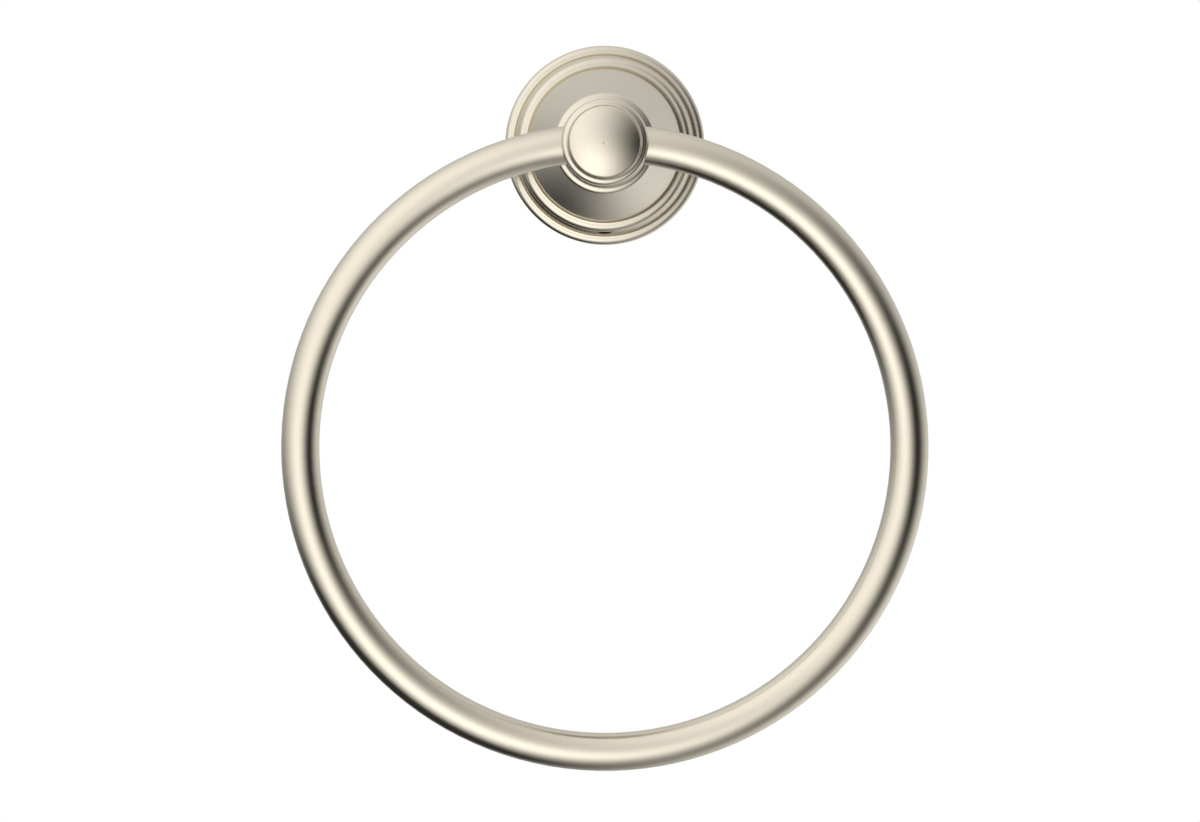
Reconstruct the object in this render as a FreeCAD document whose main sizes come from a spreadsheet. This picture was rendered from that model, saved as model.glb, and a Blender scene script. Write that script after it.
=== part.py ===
import FreeCAD, Part
import Sketcher
import os
from math import atan2, sqrt
from types import SimpleNamespace

# Wall-mounted towel ring. The wall is the plane y = 0, the room is on the -Y side and +Z is up.
# The post's axis runs along Y through the origin. All sizes are in millimetres.

SIZES = {
    # Backplate, from its outer edge inwards
    "flange_radius": 25.4,
    "rim_edge": 1.2,
    "rim_round": 1.48,
    "rim_cove_width": 0.57,
    "rim_cove_rise": 0.11,
    "rim_cove_radius": 1.5,
    "rim_groove_width": 0.42,
    "rim_groove_depth": 0.3,
    "side_foot_lift": 0.45,
    "side_flare_width": 0.76,
    "side_flare_height": 1.43,
    "side_wall_height": 4.8,
    "side_wall_thickness": 3.5,
    "tier_round": 1.55,
    "tier_cove_width": 0.62,
    "tier_cove_rise": 0.12,
    "tier_cove_radius": 1.65,
    "recess_slope_width": 0.7,
    "recess_depth": 0.5,
    "web_thickness": 1.6,
    # Post: bell, collar and head
    "foot_gap": 0.05,
    "foot_edge": 2.4,
    "bell_height": 16.9,
    "bell_curve_radius": 200.0,
    "collar_round_width": 0.89,
    "collar_round_height": 0.845,
    "collar_round_radius": 1.174,
    "collar_cove_width": 1.0,
    "collar_cove_rise": 0.687,
    "collar_cove_radius": 1.585,
    "head_radius": 10.98,
    "head_edge_round": 0.2,
    "socket_ledge": 1.3,
    "socket_roof": 2.5,
    "socket_clearance": 0.4,
    "spigot_shortfall": 0.2,
    "fit_clearance": 0.05,
    # Front cap, from its outer edge inwards
    "cap_inset": 0.05,
    "cap_seam_depth": 0.35,
    "cap_seam_height": 0.4,
    "cap_edge": 1.1,
    "cap_bead_width": 0.83,
    "cap_bead_rise": 1.066,
    "cap_bead_radius": 1.1,
    "cap_cove_width": 0.85,
    "cap_cove_rise": 0.641,
    "cap_cove_radius": 1.26,
    "cap_line_width": 0.1,
    "cap_line_depth": 0.12,
    "dome_edge_width": 0.53,
    "dome_edge_rise": 0.486,
    "dome_edge_round": 1.079,
    "dome_radius": 22.0,
    "cap_stud_radius": 4.0,
    "cap_stud_length": 4.6,
    "cap_stud_relief": 0.4,
    # Ring and its pivot
    "ring_radius": 77.0,
    "tube_radius": 4.83,
    "ring_end": 5.8,
    "ring_end_gap": 0.3,
    "ring_end_round": 0.5,
    "pin_radius": 2.0,
    "pin_chamfer": 0.3,
    "pin_margin": 1.5,
    "pin_running_clearance": 0.05,
    "pin_seat_clearance": 0.01,
    # Wall bracket
    "bracket_clearance": 0.77,
    "bracket_foot": 1.4,
    "bracket_base": 3.2,
    "bracket_undercut": 2.2,
    "bracket_land": 7.7,
    "bracket_height": 8.3,
    "bracket_wall": 2.7,
    "wall_hole_radius": 2.3,
    "countersink_radius": 4.2,
    "countersink_margin": 0.3,
    # Set screw under the backplate
    "set_screw_radius": 2.5,
    "set_screw_length": 4.0,
    "set_screw_chamfer": 0.5,
    "set_screw_point_length": 1.2,
    "set_screw_point_radius": 0.8,
    "set_screw_lift": 1.72,
    "set_screw_key": 2.5,
    "set_screw_key_depth": 1.8,
    # Screw and washer that hold the post
    "post_screw_radius": 3.0,
    "post_screw_length": 12.0,
    "post_screw_chamfer": 0.6,
    "post_screw_head_radius": 5.0,
    "post_screw_head_height": 2.6,
    "post_screw_head_round": 0.8,
    "post_screw_key": 4.0,
    "post_screw_key_depth": 1.6,
    "post_screw_relief": 1.9,
    "washer_thickness": 1.2,
    "washer_margin": 1.5,
    "washer_overlap": 3.5,
    "washer_bore_clearance": 0.3,
}


class Size:
    """A length that carries its number and the sheet formula that gives it."""

    def __init__(self, number, formula):
        self.number = number
        self.formula = formula

    def __add__(self, other):
        return Size(self.number + other.number, f"{self.formula} + {other.formula}")

    def __sub__(self, other):
        return Size(self.number - other.number, f"{self.formula} - ({other.formula})")

    def __mul__(self, other):
        return Size(self.number * other.number, f"({self.formula}) * ({other.formula})")

    def __truediv__(self, other):
        return Size(self.number / other.number, f"({self.formula}) / ({other.formula})")

    def doubled(self):
        return Size(2 * self.number, f"2 * ({self.formula})")

    def halved(self):
        return Size(self.number / 2, f"({self.formula}) / 2")


mm = SimpleNamespace(**{name: Size(value, "Sizes." + name) for name, value in SIZES.items()})
ZERO = Size(0.0, "0")

# Backplate radii, from the wall edge in to the recess that takes the post's foot
rim_land_radius = mm.flange_radius - mm.rim_round
rim_lip_radius = rim_land_radius - mm.rim_cove_width
flare_radius = rim_lip_radius - mm.rim_groove_width
wall_radius = flare_radius - mm.side_flare_width
tier_land_radius = wall_radius - mm.tier_round
recess_radius = tier_land_radius - mm.tier_cove_width
seat_radius = recess_radius - mm.recess_slope_width
cavity_radius = wall_radius - mm.side_wall_thickness

# Backplate heights above the wall
rim_land_height = mm.rim_edge + mm.rim_round
rim_lip_height = rim_land_height + mm.rim_cove_rise
rim_groove_floor = rim_lip_height - mm.rim_groove_depth
flare_foot = rim_lip_height + mm.side_foot_lift
flare_top = flare_foot + mm.side_flare_height
wall_top = flare_top + mm.side_wall_height
tier_land_height = wall_top + mm.tier_round
tier_lip_height = tier_land_height + mm.tier_cove_rise
recess_floor = tier_lip_height - mm.recess_depth
cavity_ceiling = recess_floor - mm.web_thickness

# Wall bracket, inside the backplate's cavity
bracket_radius = cavity_radius - mm.bracket_clearance
bracket_neck = bracket_radius - mm.bracket_undercut
bracket_recess = bracket_neck - mm.bracket_wall
wall_hole_offset = bracket_recess - mm.countersink_radius - mm.countersink_margin

# Set screw: its point bears on the bracket's undercut, which draws the backplate to the wall
set_screw_height = flare_top + mm.set_screw_lift
undercut_share = (set_screw_height + mm.set_screw_point_radius - mm.bracket_base) / (
    mm.bracket_land - mm.bracket_base
)
set_screw_point = bracket_neck + mm.bracket_undercut * undercut_share + mm.fit_clearance
set_screw_outer_end = set_screw_point + mm.set_screw_length

# Washer and spigot share the post screw's axis
washer_radius = bracket_recess - mm.washer_margin
spigot_radius = washer_radius - mm.washer_overlap
spigot_length = mm.web_thickness - mm.spigot_shortfall
washer_back = cavity_ceiling - mm.washer_thickness

# Post heights above the free end of its spigot
foot_radius = seat_radius - mm.foot_gap
collar_crest_radius = mm.head_radius + mm.collar_cove_width
collar_radius = collar_crest_radius + mm.collar_round_width
bell_foot = spigot_length + mm.foot_edge
bell_top = bell_foot + mm.bell_height
collar_crest = bell_top + mm.collar_round_height
collar_top = collar_crest + mm.collar_cove_rise

# The ring curves inside the head, so its socket is wider than the rod by the rise of that curve
ring_rise = mm.head_radius * mm.head_radius / mm.ring_radius.doubled()
socket_radius = mm.tube_radius + ring_rise + mm.socket_clearance
socket_floor = mm.ring_end - mm.tube_radius * mm.ring_end / mm.ring_radius - mm.ring_end_gap
pivot_height = collar_top + mm.socket_ledge + socket_radius
head_top = pivot_height + socket_radius + mm.socket_roof
pin_half_length = mm.head_radius - mm.pin_margin

# Distances of the seats from the wall
post_back = recess_floor - spigot_length
pivot_depth = post_back + pivot_height
cap_back = post_back + head_top - mm.cap_stud_length

# Front cap radii and heights above the end of its stud
cap_radius = mm.head_radius - mm.cap_inset
cap_seam_radius = cap_radius - mm.cap_seam_depth
cap_crest_radius = cap_radius - mm.cap_bead_width
cap_lip_radius = cap_crest_radius - mm.cap_cove_width
cap_line_radius = cap_lip_radius - mm.cap_line_width.halved()
dome_foot_radius = cap_lip_radius - mm.cap_line_width
dome_edge_radius = dome_foot_radius - mm.dome_edge_width
cap_seam_top = mm.cap_stud_length + mm.cap_seam_height
cap_edge_top = cap_seam_top + mm.cap_edge
cap_crest = cap_edge_top + mm.cap_bead_rise
cap_lip = cap_crest + mm.cap_cove_rise
cap_line_floor = cap_lip - mm.cap_line_depth
dome_edge = cap_lip + mm.dome_edge_rise


def write_sheet(doc):
    """Put each driving size in the sheet, as plain text with its own alias."""
    sheet = doc.addObject("Spreadsheet::Sheet", "Sizes")
    for row, (alias, value) in enumerate(SIZES.items(), start=1):
        sheet.set(f"A{row}", alias.replace("_", " "))
        sheet.set(f"B{row}", str(value))
        sheet.setAlias(f"B{row}", alias)
    doc.recompute()


def new_body(doc, label):
    body = doc.addObject("PartDesign::Body", label)
    body.Label = label
    return body


def new_sketch(body, name, plane, offset=ZERO):
    """An empty sketch on one of the body's origin planes, lifted off it by offset."""
    sketch = body.newObject("Sketcher::SketchObject", name)
    support = next(x for x in body.Origin.OriginFeatures if x.Role == plane)
    sketch.AttachmentSupport = [(support, "")]
    sketch.MapMode = "FlatFace"
    sketch.setExpression(".AttachmentOffset.Base.z", offset.formula)
    return sketch


def bind(sketch, kind, where, size):
    """Add a dimension to the sketch and tie it to the sheet."""
    index = sketch.addConstraint(Sketcher.Constraint(kind, *where, size.number))
    sketch.setExpression(f"Constraints[{index}]", size.formula)


def place_point(sketch, point, across, up):
    """Hold a point of the sketch at a distance across and up from the origin."""
    if across is ZERO:
        sketch.addConstraint(Sketcher.Constraint("PointOnObject", *point, -2))
    else:
        bind(sketch, "DistanceX", (-1, 1, *point), across)
    if up is ZERO:
        sketch.addConstraint(Sketcher.Constraint("PointOnObject", *point, -1))
    else:
        bind(sketch, "DistanceY", (-1, 1, *point), up)


def arc_between(start, end, radius, bulge):
    """The short arc from start to end. It swells to the right of the way there, or to the left."""
    chord = end - start
    reach = sqrt(radius * radius - chord.Length * chord.Length / 4)
    left = FreeCAD.Vector(-chord.y, chord.x, 0).normalize()
    middle = (start + end) / 2
    centre = middle + left * reach if bulge == "right" else middle - left * reach
    first, last = (start, end) if bulge == "right" else (end, start)
    turn = [atan2(point.y - centre.y, point.x - centre.x) for point in (first, last)]
    return Part.ArcOfCircle(Part.Circle(centre, FreeCAD.Vector(0, 0, 1), radius), *turn)


def outline(body, name, plane, corners, offset=ZERO):
    """A closed profile. A corner is (across, up), and (bulge, radius) after it makes its side an arc."""
    sketch = new_sketch(body, name, plane, offset)
    points = [FreeCAD.Vector(corner[0].number, corner[1].number, 0) for corner in corners]
    ends = []
    for index, corner in enumerate(corners):
        start = points[index]
        end = points[(index + 1) % len(points)]
        if len(corner) == 2:
            side = sketch.addGeometry(Part.LineSegment(start, end))
            ends.append(((side, 1), (side, 2)))
        else:
            bulge, radius = corner[2:]
            side = sketch.addGeometry(arc_between(start, end, radius.number, bulge))
            bind(sketch, "Radius", (side,), radius)
            ends.append(((side, 1), (side, 2)) if bulge == "right" else ((side, 2), (side, 1)))
    for index, corner in enumerate(corners):
        sketch.addConstraint(Sketcher.Constraint("Coincident", *ends[index - 1][1], *ends[index][0]))
        place_point(sketch, ends[index][0], corner[0], corner[1])
    return sketch


def circle(body, name, plane, across, up, radius, offset=ZERO):
    """A sketch of one circle."""
    sketch = new_sketch(body, name, plane, offset)
    centre = FreeCAD.Vector(across.number, up.number, 0)
    ring = sketch.addGeometry(Part.Circle(centre, FreeCAD.Vector(0, 0, 1), radius.number))
    bind(sketch, "Radius", (ring,), radius)
    place_point(sketch, (ring, 3), across, up)
    return sketch


def hexagon(body, name, plane, key, offset=ZERO):
    """A sketch of a hexagon round the origin, key across its flats."""
    sketch = new_sketch(body, name, plane, offset)
    up = FreeCAD.Vector(0, 0, 1)
    corner = FreeCAD.Vector(key.number / sqrt(3), 0, 0)
    spin = FreeCAD.Rotation(up, 60)
    sides = []
    for _ in range(6):
        following = spin.multVec(corner)
        sides.append(sketch.addGeometry(Part.LineSegment(corner, following)))
        corner = following
    guide = sketch.addGeometry(Part.Circle(FreeCAD.Vector(), up, key.number / sqrt(3)), True)
    sketch.addConstraint(Sketcher.Constraint("Coincident", guide, 3, -1, 1))
    for index, side in enumerate(sides):
        sketch.addConstraint(Sketcher.Constraint("Coincident", sides[index - 1], 2, side, 1))
        sketch.addConstraint(Sketcher.Constraint("PointOnObject", side, 1, guide))
        if index:
            sketch.addConstraint(Sketcher.Constraint("Equal", sides[0], side))
    sketch.addConstraint(Sketcher.Constraint("PointOnObject", sides[0], 1, -1))
    bind(sketch, "Radius", (guide,), Size(key.number / sqrt(3), f"({key.formula}) / sqrt(3)"))
    return sketch


def revolve(body, name, sketch, axis="V_Axis"):
    """Turn a profile about an axis of its sketch."""
    feature = body.newObject("PartDesign::Revolution", name)
    feature.Profile = sketch
    feature.ReferenceAxis = (sketch, [axis])
    feature.Angle = 360
    sketch.Visibility = False
    return feature


def pocket(body, name, sketch, reach=None, both_ways=False, reverse=False):
    """Cut a profile out of the body, for the length reach or right through."""
    feature = body.newObject("PartDesign::Pocket", name)
    feature.Profile = sketch
    feature.Midplane = both_ways
    feature.Reversed = reverse
    if reach is None:
        feature.Type = "ThroughAll"
    else:
        feature.Type = "Length"
        feature.setExpression("Length", reach.formula)
    sketch.Visibility = False
    return feature


def soften(body, kind, name, base, size, chosen):
    """Fillet or chamfer the chosen edges of the feature base."""
    body.Document.recompute()
    feature = body.newObject("PartDesign::" + kind, name)
    edges = [f"Edge{n}" for n, edge in enumerate(base.Shape.Edges, start=1) if chosen(edge)]
    feature.Base = (base, edges)
    feature.setExpression("Radius" if kind == "Fillet" else "Size", size.formula)
    return feature


def is_round(edge, radius):
    """Whether an edge is part of a circle of that radius."""
    return isinstance(edge.Curve, Part.Circle) and abs(edge.Curve.Radius - radius.number) < 1e-4


def face_the_room(body, depth):
    """Lay a piece that was turned about its own Z axis so that it points away from the wall."""
    body.Placement.Rotation = FreeCAD.Rotation(FreeCAD.Vector(1, 0, 0), 90)
    body.setExpression(".Placement.Base.y", f"-({depth.formula})")


def make_wall_bracket(doc):
    """Cast disc on the wall, with an undercut edge and two countersunk screw holes."""
    body = new_body(doc, "wall_bracket")
    profile = outline(body, "bracket_profile", "XZ_Plane", [
        (ZERO, ZERO),
        (bracket_radius, ZERO),
        (bracket_radius, mm.bracket_foot),
        (bracket_neck, mm.bracket_base),
        (bracket_radius, mm.bracket_land),
        (bracket_radius, mm.bracket_height),
        (bracket_recess, mm.bracket_height),
        (bracket_recess, mm.bracket_base),
        (ZERO, mm.bracket_base),
    ])
    revolve(body, "bracket_disc", profile)
    doc.recompute()

    centres = new_sketch(body, "wall_hole_centres", "XY_Plane", mm.bracket_base)
    rings = []
    for side in (1, -1):
        centre = FreeCAD.Vector(0, side * wall_hole_offset.number, 0)
        hole_edge = Part.Circle(centre, FreeCAD.Vector(0, 0, 1), mm.wall_hole_radius.number)
        rings.append(centres.addGeometry(hole_edge))
    bind(centres, "Radius", (rings[0],), mm.wall_hole_radius)
    centres.addConstraint(Sketcher.Constraint("Equal", *rings))
    place_point(centres, (rings[0], 3), ZERO, wall_hole_offset)
    centres.addConstraint(Sketcher.Constraint("Symmetric", rings[0], 3, rings[1], 3, -1, 1))
    doc.recompute()

    holes = body.newObject("PartDesign::Hole", "wall_holes")
    holes.Profile = centres
    holes.DepthType = "ThroughAll"
    holes.HoleCutType = "Countersink"
    holes.HoleCutCustomValues = True
    holes.HoleCutCountersinkAngle = 90
    holes.setExpression("Diameter", mm.wall_hole_radius.doubled().formula)
    holes.setExpression("HoleCutDiameter", mm.countersink_radius.doubled().formula)
    face_the_room(body, ZERO)
    return body


def make_backplate(doc):
    """Turned cover with a moulded rim and a raised tier, hollow behind and recessed for the post."""
    body = new_body(doc, "backplate")
    profile = outline(body, "backplate_profile", "XZ_Plane", [
        (cavity_radius, ZERO),
        (mm.flange_radius, ZERO),
        (mm.flange_radius, mm.rim_edge, "right", mm.rim_round),
        (rim_land_radius, rim_land_height, "left", mm.rim_cove_radius),
        (rim_lip_radius, rim_lip_height),
        (flare_radius, rim_groove_floor),
        (flare_radius, flare_foot),
        (wall_radius, flare_top),
        (wall_radius, wall_top, "right", mm.tier_round),
        (tier_land_radius, tier_land_height, "left", mm.tier_cove_radius),
        (recess_radius, tier_lip_height),
        (seat_radius, recess_floor),
        (spigot_radius + mm.fit_clearance, recess_floor),
        (spigot_radius + mm.fit_clearance, cavity_ceiling),
        (cavity_radius, cavity_ceiling),
    ])
    revolve(body, "backplate_turning", profile)
    hole = circle(body, "set_screw_hole_centre", "XZ_Plane",
                  ZERO, set_screw_height, mm.set_screw_radius + mm.fit_clearance)
    pocket(body, "set_screw_hole", hole, reverse=True)
    face_the_room(body, ZERO)
    return body


def make_post(doc):
    """Turned post: a bell with a collar, and a head that is bored across for the ring's ends."""
    body = new_body(doc, "post")
    screw_bore = mm.post_screw_radius + mm.fit_clearance
    screw_bore_end = mm.post_screw_length + washer_back - post_back + mm.post_screw_relief
    stud_bore = mm.cap_stud_radius + mm.fit_clearance
    stud_bore_end = head_top - mm.cap_stud_length - mm.cap_stud_relief
    profile = outline(body, "post_profile", "XZ_Plane", [
        (screw_bore, ZERO),
        (spigot_radius, ZERO),
        (spigot_radius, spigot_length),
        (foot_radius, spigot_length),
        (foot_radius, bell_foot, "left", mm.bell_curve_radius),
        (collar_radius, bell_top, "right", mm.collar_round_radius),
        (collar_crest_radius, collar_crest, "left", mm.collar_cove_radius),
        (mm.head_radius, collar_top),
        (mm.head_radius, head_top - mm.head_edge_round, "right", mm.head_edge_round),
        (mm.head_radius - mm.head_edge_round, head_top),
        (stud_bore, head_top),
        (stud_bore, stud_bore_end),
        (ZERO, stud_bore_end),
        (ZERO, screw_bore_end),
        (screw_bore, screw_bore_end),
    ])
    revolve(body, "post_turning", profile)

    mouth = circle(body, "socket_mouth", "YZ_Plane", ZERO, pivot_height, socket_radius, socket_floor)
    socket = pocket(body, "ring_socket", mouth, reverse=True)
    doc.recompute()
    mirrored = body.newObject("PartDesign::Mirrored", "ring_sockets")
    mirrored.Originals = [socket]
    mirror_plane = next(x for x in body.Origin.OriginFeatures if x.Role == "YZ_Plane")
    mirrored.MirrorPlane = (mirror_plane, [""])
    body.Tip = mirrored

    bore_radius = mm.pin_radius + mm.pin_running_clearance
    bore = circle(body, "pin_bore_centre", "YZ_Plane", ZERO, pivot_height, bore_radius)
    pocket(body, "pin_bore", bore, both_ways=True)
    face_the_room(body, post_back)
    return body


def make_front_cap(doc):
    """Turned button with a beaded edge and a domed face, screwed into the head by its stud."""
    body = new_body(doc, "front_cap")
    dome_rise_number = mm.dome_radius.number - sqrt(
        mm.dome_radius.number ** 2 - dome_edge_radius.number ** 2
    )
    dome_rise_formula = (
        f"{mm.dome_radius.formula} - sqrt({mm.dome_radius.formula} ^ 2"
        f" - ({dome_edge_radius.formula}) ^ 2)"
    )
    dome_top = dome_edge + Size(dome_rise_number, dome_rise_formula)
    profile = outline(body, "cap_profile", "XZ_Plane", [
        (ZERO, ZERO),
        (mm.cap_stud_radius, ZERO),
        (mm.cap_stud_radius, mm.cap_stud_length),
        (cap_seam_radius, mm.cap_stud_length),
        (cap_seam_radius, cap_seam_top),
        (cap_radius, cap_seam_top),
        (cap_radius, cap_edge_top, "right", mm.cap_bead_radius),
        (cap_crest_radius, cap_crest, "left", mm.cap_cove_radius),
        (cap_lip_radius, cap_lip),
        (cap_line_radius, cap_line_floor),
        (dome_foot_radius, cap_lip, "right", mm.dome_edge_round),
        (dome_edge_radius, dome_edge, "right", mm.dome_radius),
        (ZERO, dome_top),
    ])
    revolve(body, "cap_turning", profile)
    face_the_room(body, cap_back)
    return body


def make_ring(doc):
    """Round rod bent to an open ring. Its two ends stand in the head and are drilled for the pin."""
    body = new_body(doc, "ring")
    section = new_sketch(body, "rod_section", "YZ_Plane")
    low = FreeCAD.Vector(0, -mm.ring_radius.number, 0)
    rod = section.addGeometry(Part.Circle(low, FreeCAD.Vector(0, 0, 1), mm.tube_radius.number))
    section.addConstraint(Sketcher.Constraint("PointOnObject", rod, 3, -2))
    bind(section, "DistanceY", (rod, 3, -1, 1), mm.ring_radius)
    bind(section, "Radius", (rod,), mm.tube_radius)
    bend = revolve(body, "bent_rod", section, "H_Axis")
    bend.Midplane = True
    end_angle = f"asin({(mm.ring_end / mm.ring_radius).formula})"
    bend.setExpression("Angle", f"360 deg - 2 * {end_angle}")
    rounded = soften(body, "Fillet", "rod_end_rounds", bend, mm.ring_end_round,
                     lambda edge: is_round(edge, mm.tube_radius))
    doc.recompute()

    hole = circle(body, "pin_hole_centre", "YZ_Plane",
                  ZERO, mm.ring_radius, mm.pin_radius + mm.pin_seat_clearance)
    reach = (pin_half_length + mm.ring_end_gap).doubled()
    pocket(body, "pin_holes", hole, reach, both_ways=True)
    body.setExpression(".Placement.Base.y", f"-({pivot_depth.formula})")
    body.setExpression(".Placement.Base.z", f"-({mm.ring_radius.formula})")
    return body


def make_pivot_pin(doc):
    """Plain pin through the head. The ring's two ends are pressed onto it."""
    body = new_body(doc, "pivot_pin")
    profile = outline(body, "pin_profile", "XZ_Plane", [
        (ZERO, ZERO),
        (mm.pin_radius - mm.pin_chamfer, ZERO),
        (mm.pin_radius, mm.pin_chamfer),
        (mm.pin_radius, pin_half_length.doubled() - mm.pin_chamfer),
        (mm.pin_radius - mm.pin_chamfer, pin_half_length.doubled()),
        (ZERO, pin_half_length.doubled()),
    ])
    revolve(body, "pin_turning", profile)
    body.Placement.Rotation = FreeCAD.Rotation(FreeCAD.Vector(0, 1, 0), 90)
    body.setExpression(".Placement.Base.x", f"-({pin_half_length.formula})")
    body.setExpression(".Placement.Base.y", f"-({pivot_depth.formula})")
    return body


def make_set_screw(doc):
    """Headless screw with a cone point, in the underside of the backplate."""
    body = new_body(doc, "set_screw")
    profile = outline(body, "set_screw_profile", "XZ_Plane", [
        (ZERO, ZERO),
        (mm.set_screw_radius - mm.set_screw_chamfer, ZERO),
        (mm.set_screw_radius, mm.set_screw_chamfer),
        (mm.set_screw_radius, mm.set_screw_length - mm.set_screw_point_length),
        (mm.set_screw_point_radius, mm.set_screw_length),
        (ZERO, mm.set_screw_length),
    ])
    revolve(body, "set_screw_turning", profile)
    key = hexagon(body, "set_screw_key_shape", "XY_Plane", mm.set_screw_key)
    pocket(body, "set_screw_key_socket", key, mm.set_screw_key_depth, reverse=True)
    body.setExpression(".Placement.Base.y", f"-({set_screw_height.formula})")
    body.setExpression(".Placement.Base.z", f"-({set_screw_outer_end.formula})")
    return body


def make_post_screw(doc):
    """Socket button screw from behind, which clamps the post to the backplate."""
    body = new_body(doc, "post_screw")
    head = mm.post_screw_head_height
    tip = head + mm.post_screw_length
    profile = outline(body, "post_screw_profile", "XZ_Plane", [
        (ZERO, ZERO),
        (mm.post_screw_head_radius - mm.post_screw_head_round, ZERO, "right", mm.post_screw_head_round),
        (mm.post_screw_head_radius, mm.post_screw_head_round),
        (mm.post_screw_head_radius, head),
        (mm.post_screw_radius, head),
        (mm.post_screw_radius, tip - mm.post_screw_chamfer),
        (mm.post_screw_radius - mm.post_screw_chamfer, tip),
        (ZERO, tip),
    ])
    revolve(body, "post_screw_turning", profile)
    key = hexagon(body, "post_screw_key_shape", "XY_Plane", mm.post_screw_key)
    pocket(body, "post_screw_key_socket", key, mm.post_screw_key_depth, reverse=True)
    face_the_room(body, washer_back - head)
    return body


def make_post_washer(doc):
    """Plain washer under the post screw's head."""
    body = new_body(doc, "post_washer")
    bore = mm.post_screw_radius + mm.washer_bore_clearance
    profile = outline(body, "washer_profile", "XZ_Plane", [
        (bore, ZERO),
        (washer_radius, ZERO),
        (washer_radius, mm.washer_thickness),
        (bore, mm.washer_thickness),
    ])
    revolve(body, "washer_turning", profile)
    face_the_room(body, washer_back)
    return body


def check_document(doc, bodies):
    """Stop if any object failed or any sub-part has no valid solid."""
    for thing in doc.Objects:
        if "Invalid" in thing.State or "Error" in thing.State:
            raise RuntimeError(f"{thing.Name} failed: {thing.State}")
    for body in bodies:
        if body.Shape.isNull() or not body.Shape.isValid() or len(body.Shape.Solids) != 1:
            raise RuntimeError(f"{body.Label} has no single valid solid")


def main():
    doc = FreeCAD.newDocument("TowelRing")
    write_sheet(doc)
    makers = (make_wall_bracket, make_backplate, make_post, make_front_cap, make_ring,
              make_pivot_pin, make_set_screw, make_post_screw, make_post_washer)
    bodies = [make(doc) for make in makers]
    doc.recompute()
    check_document(doc, bodies)
    os.makedirs("parts", exist_ok=True)
    for body in bodies:
        body.Shape.exportStep(f"parts/{body.Label}.step")
        box = body.Shape.BoundBox
        print(f"{body.Label}: volume {body.Shape.Volume:.1f} mm3, "
              f"x {box.XMin:.2f} {box.XMax:.2f}, y {box.YMin:.2f} {box.YMax:.2f}, "
              f"z {box.ZMin:.2f} {box.ZMax:.2f}")


main()
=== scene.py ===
import math

import bpy
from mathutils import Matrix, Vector


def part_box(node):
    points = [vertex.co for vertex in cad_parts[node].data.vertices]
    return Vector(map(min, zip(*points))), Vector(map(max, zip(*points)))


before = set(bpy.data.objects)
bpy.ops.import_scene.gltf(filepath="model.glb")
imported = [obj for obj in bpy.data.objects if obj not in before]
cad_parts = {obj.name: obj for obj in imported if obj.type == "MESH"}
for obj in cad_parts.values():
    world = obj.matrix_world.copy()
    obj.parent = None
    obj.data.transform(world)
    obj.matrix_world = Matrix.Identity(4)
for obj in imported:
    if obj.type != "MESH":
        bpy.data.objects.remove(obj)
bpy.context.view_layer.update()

# Everything is in metres. The wall is the plane y = 0, the room is on the -Y side and +Z is up.

# The photograph, 1200 by 822 pixels, was taken square to the wall from far away
PHOTO_WIDTH = 1200
PHOTO_HEIGHT = 822
SCALE_AT_WALL = 0.0002553
POST_AXIS_PIXEL = (604.8, 145.35)
CAMERA_DISTANCE = 3.9

FLOOR_DROP = 1.2
FLOOR_RADIUS = 2.0
TENT_RADIUS = 1.0

RING_CENTRE = sum((Vector(corner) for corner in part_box("ring")), Vector()) / 2
STUDIO_CENTRE = Vector((0, -0.035, -0.07))


class Nodes:
    """A small helper that adds nodes to one node tree and links them."""

    def __init__(self, tree):
        self.tree = tree
        tree.nodes.clear()

    def add(self, kind, settings=None, **inputs):
        """Add a node. A value given for an input is either a socket to link or a constant."""
        node = self.tree.nodes.new(kind)
        for key, value in (settings or {}).items():
            setattr(node, key, value)
        for key, value in inputs.items():
            name = int(key[1:]) if key.startswith("i") and key[1:].isdigit() else key.replace("_", " ")
            socket = node.inputs[name]
            if isinstance(value, bpy.types.NodeSocket):
                self.tree.links.new(value, socket)
            else:
                socket.default_value = value
        return node

    def maths(self, operation, *values):
        inputs = {f"i{index}": value for index, value in enumerate(values)}
        return self.add("ShaderNodeMath", {"operation": operation}, **inputs).outputs[0]

    def spread(self, value, low, high):
        """Turn noise around a half into a value between low and high."""
        ranges = {"From_Min": 0.3, "From_Max": 0.7, "To_Min": low, "To_Max": high}
        return self.add("ShaderNodeMapRange", Value=value, **ranges).outputs["Result"]


def new_material(name):
    material = bpy.data.materials.new(name)
    material.use_nodes = True
    return material, Nodes(material.node_tree)


NICKEL = (0.68, 0.627, 0.517)
NICKEL_ROUGHNESS = 0.2
NICKEL_ROUGHNESS_CHANGE = 0.03
NICKEL_TINT_CHANGE = 0.01
# Lengths and widths of the brushed streaks, and how high they stand
POST_BRUSHING = {
    "at_radius": 0.015, "fine": 0.004, "fine_width": 0.00012, "broad": 0.012, "broad_width": 0.0006,
    "height": 0.0000028,
}
ROD_BRUSHING = {
    "at_radius": 0.077, "fine": 0.006, "fine_width": 0.00015, "broad": 0.03, "broad_width": 0.0008,
    "height": 0.000002,
}
# A turned face never leans round its axis, so a lean below this is only the mesh's unevenness
UNEVEN_LEAN = math.sin(math.radians(15))
# The set screw's tapped hole, which gets painted shade in its base colour: how far the painted shade
# reaches past the screw, how dark the painted shade makes it, and how rough the hole is
HOLE_MARGIN = 0.0001
HOLE_PAINTED_SHADE = 0.97
HOLE_ROUGHNESS = 0.3


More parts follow.
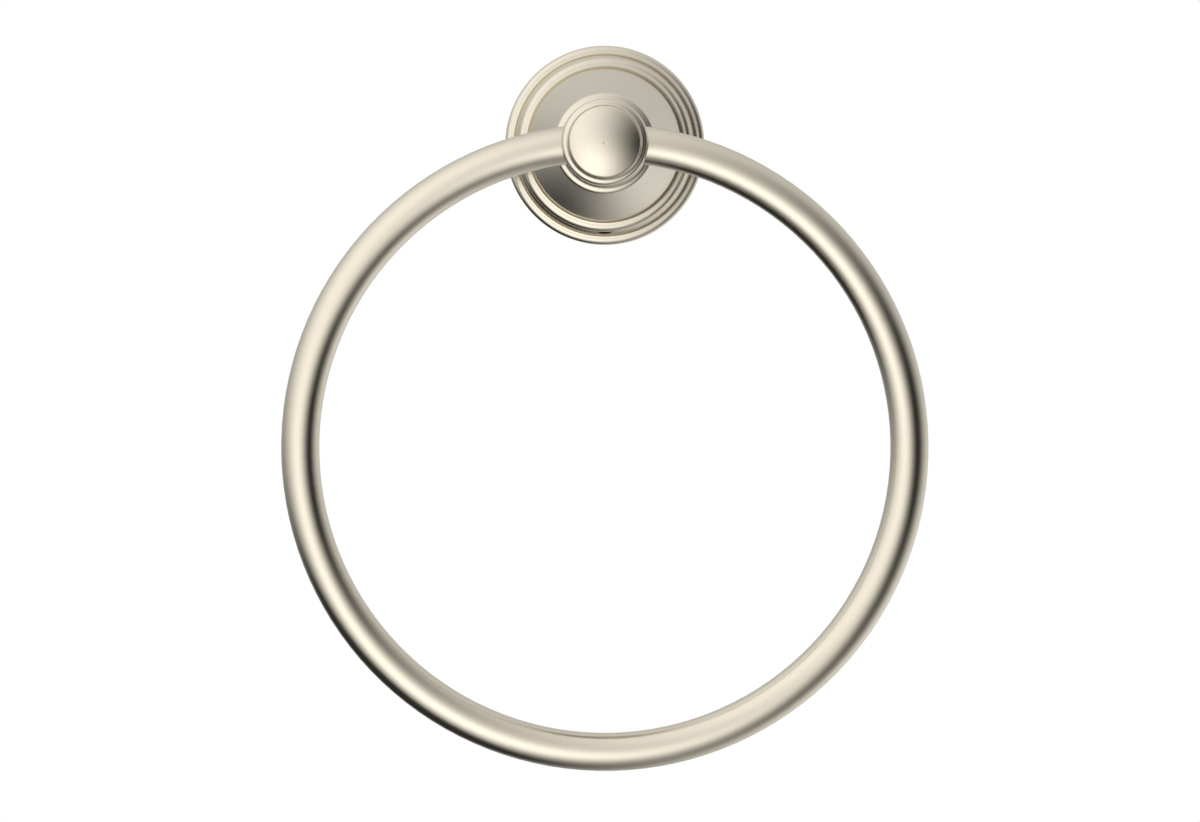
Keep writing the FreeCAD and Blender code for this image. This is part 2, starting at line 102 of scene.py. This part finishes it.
def turned_normal(nodes, around):
    """The shading normal without the small lean round the axis that the mesh's triangles give it."""
    normal = nodes.add("ShaderNodeNewGeometry").outputs["Normal"]
    backwards = nodes.maths("MULTIPLY", around.outputs["Z"], -1.0)
    sideways = nodes.add("ShaderNodeCombineXYZ", X=backwards, Z=around.outputs["X"]).outputs[0]
    lean = nodes.add("ShaderNodeVectorMath", {"operation": "DOT_PRODUCT"},
                     i0=normal, i1=sideways).outputs["Value"]
    small = nodes.maths("LESS_THAN", nodes.maths("ABSOLUTE", lean), UNEVEN_LEAN)
    excess = nodes.add("ShaderNodeVectorMath", {"operation": "SCALE"},
                       i0=sideways, Scale=nodes.maths("MULTIPLY", lean, small)).outputs[0]
    upright = nodes.add("ShaderNodeVectorMath", {"operation": "SUBTRACT"}, i0=normal, i1=excess).outputs[0]
    return nodes.add("ShaderNodeVectorMath", {"operation": "NORMALIZE"}, i0=upright).outputs[0]


def inside_screw_hole(nodes, place):
    """One inside the set screw's tapped hole, which runs along Z, and nought elsewhere: the mask for the
    hole's painted shade and its added roughness.
    """
    low, high = (Vector(corner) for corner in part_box("set_screw"))
    reach = (high.x - low.x) / 2 + HOLE_MARGIN
    from_screw = nodes.add("ShaderNodeVectorMath", {"operation": "SUBTRACT"}, i0=place, i1=(low + high) / 2)
    sides = nodes.add("ShaderNodeSeparateXYZ", Vector=from_screw.outputs[0])
    across = nodes.add("ShaderNodeCombineXYZ", X=sides.outputs["X"], Y=sides.outputs["Y"])
    distance = nodes.add("ShaderNodeVectorMath", {"operation": "LENGTH"}, i0=across.outputs[0])
    near = nodes.maths("LESS_THAN", distance.outputs["Value"], reach)
    low_enough = nodes.maths("LESS_THAN", sides.outputs["Z"], reach)
    return nodes.maths("MULTIPLY", near, low_enough)


def brushed_metal(name, centre, brushing, turned=False, with_screw_hole=False):
    """Nickel brushed round an axis that runs along Y through centre, with painted shade inside the set
    screw's hole when with_screw_hole is set.
    """
    material, nodes = new_material(name)
    place = nodes.add("ShaderNodeTexCoord").outputs["Object"]
    offset = nodes.add("ShaderNodeVectorMath", {"operation": "SUBTRACT"}, i0=place, i1=centre)
    parts = nodes.add("ShaderNodeSeparateXYZ", Vector=offset.outputs[0])
    flat = nodes.add("ShaderNodeCombineXYZ", X=parts.outputs["X"], Z=parts.outputs["Z"])
    radius = nodes.add("ShaderNodeVectorMath", {"operation": "LENGTH"}, i0=flat.outputs[0])
    around = nodes.add("ShaderNodeVectorMath", {"operation": "NORMALIZE"}, i0=flat.outputs[0])
    around = nodes.add("ShaderNodeSeparateXYZ", Vector=around.outputs[0])

    def streaks(width, length, detail):
        """Noise drawn out round the axis. Width and length are those of one streak."""
        turns = brushing["at_radius"] / length
        vector = nodes.add(
            "ShaderNodeCombineXYZ",
            X=nodes.maths("MULTIPLY", around.outputs["X"], turns),
            Y=nodes.maths("MULTIPLY", around.outputs["Z"], turns),
            Z=nodes.maths("MULTIPLY", radius.outputs["Value"], 1 / width),
        )
        depth = nodes.maths("MULTIPLY", parts.outputs["Y"], 1 / width)
        noise = nodes.add("ShaderNodeTexNoise", {"noise_dimensions": "4D"},
                          Vector=vector.outputs[0], W=depth, Scale=1.0, Detail=detail)
        return noise.outputs["Fac"]

    fine = streaks(brushing["fine_width"], brushing["fine"], 2.0)
    broad = streaks(brushing["broad_width"], brushing["broad"], 3.0)
    tint = nodes.spread(broad, 1 - NICKEL_TINT_CHANGE, 1 + NICKEL_TINT_CHANGE)
    uneven = nodes.spread(fine, NICKEL_ROUGHNESS - NICKEL_ROUGHNESS_CHANGE,
                          NICKEL_ROUGHNESS + NICKEL_ROUGHNESS_CHANGE)
    # Painted shade: the base colour is darkened inside the set screw's tapped hole, where shade falls, and
    # the hole is also made rougher
    if with_screw_hole:
        inside = inside_screw_hole(nodes, place)
        shade = nodes.maths("SUBTRACT", 1.0, nodes.maths("MULTIPLY", inside, HOLE_PAINTED_SHADE))
        tint = nodes.maths("MULTIPLY", tint, shade)
        uneven = nodes.maths("ADD", uneven, nodes.maths("MULTIPLY", inside, HOLE_ROUGHNESS))
    tinted = nodes.add("ShaderNodeVectorMath", {"operation": "SCALE"}, i0=NICKEL, Scale=tint)
    relief = nodes.add("ShaderNodeBump", Strength=1.0, Distance=brushing["height"], Height=fine)
    if turned:
        nodes.tree.links.new(turned_normal(nodes, around), relief.inputs["Normal"])
    shader = nodes.add("ShaderNodeBsdfPrincipled", Metallic=1.0, Base_Color=tinted.outputs[0],
                       Roughness=uneven, Normal=relief.outputs["Normal"])
    nodes.add("ShaderNodeOutputMaterial", Surface=shader.outputs[0])
    return material


def plain_metal(name, colour, roughness, grain_size, bump_height):
    """Machined or plated steel with a fine even grain."""
    material, nodes = new_material(name)
    place = nodes.add("ShaderNodeTexCoord").outputs["Object"]
    grain = nodes.add("ShaderNodeTexNoise", Vector=place, Scale=1 / grain_size, Detail=4.0).outputs["Fac"]
    cloud = nodes.add("ShaderNodeTexNoise", Vector=place, Scale=0.1 / grain_size, Detail=2.0).outputs["Fac"]
    tinted = nodes.add("ShaderNodeVectorMath", {"operation": "SCALE"},
                       i0=colour, Scale=nodes.spread(cloud, 0.9, 1.1))
    uneven = nodes.spread(grain, roughness - 0.06, roughness + 0.06)
    relief = nodes.add("ShaderNodeBump", Strength=1.0, Distance=bump_height, Height=grain)
    shader = nodes.add("ShaderNodeBsdfPrincipled", Metallic=1.0, Base_Color=tinted.outputs[0],
                       Roughness=uneven, Normal=relief.outputs["Normal"])
    nodes.add("ShaderNodeOutputMaterial", Surface=shader.outputs[0])
    return material


def dress_nodes():
    """Give every CAD node its material. The nodes' meshes stay as they are."""
    turned = brushed_metal("brushed_nickel_turned", Vector(), POST_BRUSHING, turned=True)
    # The backplate's material has painted shade inside the set screw's tapped hole
    plate = brushed_metal("brushed_nickel_backplate", Vector(), POST_BRUSHING, turned=True,
                          with_screw_hole=True)
    drawn = brushed_metal("brushed_nickel_rod", RING_CENTRE, ROD_BRUSHING)
    plated = plain_metal("zinc_plated_steel", (0.55, 0.56, 0.58), 0.35, 0.0004, 0.000004)
    bright = plain_metal("bright_steel", (0.42, 0.42, 0.43), 0.28, 0.0003, 0.000002)
    dark = plain_metal("blackened_steel", (0.02, 0.02, 0.02), 0.4, 0.0003, 0.000003)
    finishes = {
        "backplate": plate,
        "post": turned,
        "front_cap": turned,
        "ring": drawn,
        "wall_bracket": plated,
        "pivot_pin": bright,
        "post_screw": bright,
        "post_washer": bright,
        "set_screw": dark,
    }
    for name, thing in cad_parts.items():
        for slot in thing.material_slots:
            slot.material = finishes[name]


def make_floor():
    """A plain pale floor, as far below the ring as in a bathroom."""
    bpy.ops.mesh.primitive_circle_add(vertices=96, radius=FLOOR_RADIUS, fill_type="NGON",
                                      location=(0, 0, -FLOOR_DROP))
    floor = bpy.context.active_object
    floor.name = "floor"
    material, nodes = new_material("pale_floor")
    shader = nodes.add("ShaderNodeBsdfPrincipled", Base_Color=(0.85, 0.85, 0.84, 1), Roughness=0.8)
    nodes.add("ShaderNodeOutputMaterial", Surface=shader.outputs[0])
    floor.data.materials.append(material)


def studio_direction(tilt, turn):
    """A direction from the object: tilt from the camera's side, and turn clockwise from the right."""
    tilt = math.radians(tilt)
    turn = math.radians(turn)
    return Vector((math.sin(tilt) * math.cos(turn), -math.cos(tilt), -math.sin(tilt) * math.sin(turn)))


# The white cloth, and the bright cards and dark flags in it that the metal mirrors. Each has a tilt,
# a turn and a half width in degrees, and then the light that it adds or takes away at its middle.
# They were placed to make the metal as light and as dark as the photograph's
TENT_WHITE = 1.15
TENT_DARKEST = 0.03
TENT_CARDS = {
    "low card": (35, 110, 28, 1.05),
    "high card": (50, 220, 45, 0.45),
    "rear card": (125, 45, 30, 0.3),
    "right flag": (50, 350, 45, -1.1),
    "side flag": (70, 55, 30, -0.4),
    "under flag": (105, 130, 50, -1.3),
    "rear shade": (155, 290, 50, -0.35),
}


def add_tent():
    """A white light tent round the object, with soft cards and flags for the metal to mirror."""
    bpy.ops.mesh.primitive_uv_sphere_add(segments=48, ring_count=24, radius=TENT_RADIUS,
                                         location=STUDIO_CENTRE)
    tent = bpy.context.active_object
    tent.name = "light_tent"
    material, nodes = new_material("light_tent")
    place = nodes.add("ShaderNodeTexCoord").outputs["Object"]
    direction = nodes.add("ShaderNodeVectorMath", {"operation": "NORMALIZE"}, i0=place).outputs[0]
    light = TENT_WHITE
    for tilt, turn, half_width, strength in TENT_CARDS.values():
        sharpness = math.log(2) / (1 - math.cos(math.radians(half_width)))
        facing = nodes.add("ShaderNodeVectorMath", {"operation": "DOT_PRODUCT"},
                           i0=direction, i1=studio_direction(tilt, turn)).outputs["Value"]
        away = nodes.maths("SUBTRACT", facing, 1.0)
        falloff = nodes.maths("EXPONENT", nodes.maths("MULTIPLY", away, sharpness))
        light = nodes.maths("ADD", nodes.maths("MULTIPLY", falloff, strength), light)
    light = nodes.maths("MAXIMUM", light, TENT_DARKEST)
    cloth = nodes.add("ShaderNodeEmission", Color=(1, 1, 1, 1), Strength=light)
    nodes.add("ShaderNodeOutputMaterial", Surface=cloth.outputs[0])
    tent.data.materials.append(material)
    tent.visible_camera = False
    tent.visible_diffuse = False
    tent.visible_transmission = False
    tent.visible_shadow = False


SOFTBOX_TILT = 60
SOFTBOX_TURN = 250
SOFTBOX_DISTANCE = 1.5
SOFTBOX_SIZE = 0.8
SOFTBOX_POWER = 3.0


def add_softbox():
    """The soft lamp from above, which lights what isn't metal."""
    lamp = bpy.data.lights.new("softbox", "AREA")
    lamp.shape = "DISK"
    lamp.size = SOFTBOX_SIZE
    lamp.energy = SOFTBOX_POWER
    softbox = bpy.data.objects.new("softbox", lamp)
    softbox.visible_camera = False
    softbox.visible_glossy = False
    bpy.context.scene.collection.objects.link(softbox)
    direction = studio_direction(SOFTBOX_TILT, SOFTBOX_TURN)
    softbox.location = STUDIO_CENTRE + direction * SOFTBOX_DISTANCE
    softbox.rotation_mode = "QUATERNION"
    softbox.rotation_quaternion = direction.to_track_quat("Z", "Y")


def light_studio():
    """White surroundings, one soft lamp and the light tent."""
    world = bpy.data.worlds.new("white_studio")
    bpy.context.scene.world = world
    world.use_nodes = True
    nodes = Nodes(world.node_tree)
    surround = nodes.add("ShaderNodeBackground", Color=(1, 1, 1, 1), Strength=1.0)
    nodes.add("ShaderNodeOutputWorld", Surface=surround.outputs[0])
    add_tent()
    add_softbox()


def add_camera():
    """The camera at the photograph's angle, with its frame and the post's axis at the same pixel."""
    lens_data = bpy.data.cameras.new("camera")
    camera = bpy.data.objects.new("camera", lens_data)
    bpy.context.scene.collection.objects.link(camera)
    bpy.context.scene.camera = camera
    lens_data.sensor_width = 36.0
    lens_data.lens = lens_data.sensor_width * CAMERA_DISTANCE / (PHOTO_WIDTH * SCALE_AT_WALL)
    lens_data.clip_start = 0.1
    lens_data.clip_end = 50.0
    across = (PHOTO_WIDTH / 2 - POST_AXIS_PIXEL[0]) * SCALE_AT_WALL
    up = (POST_AXIS_PIXEL[1] - PHOTO_HEIGHT / 2) * SCALE_AT_WALL
    camera.location = (across, -CAMERA_DISTANCE, up)
    camera.rotation_euler = (math.pi / 2, 0, 0)


dress_nodes()
make_floor()
light_studio()
add_camera()
bpy.context.scene.view_settings.view_transform = "Standard"
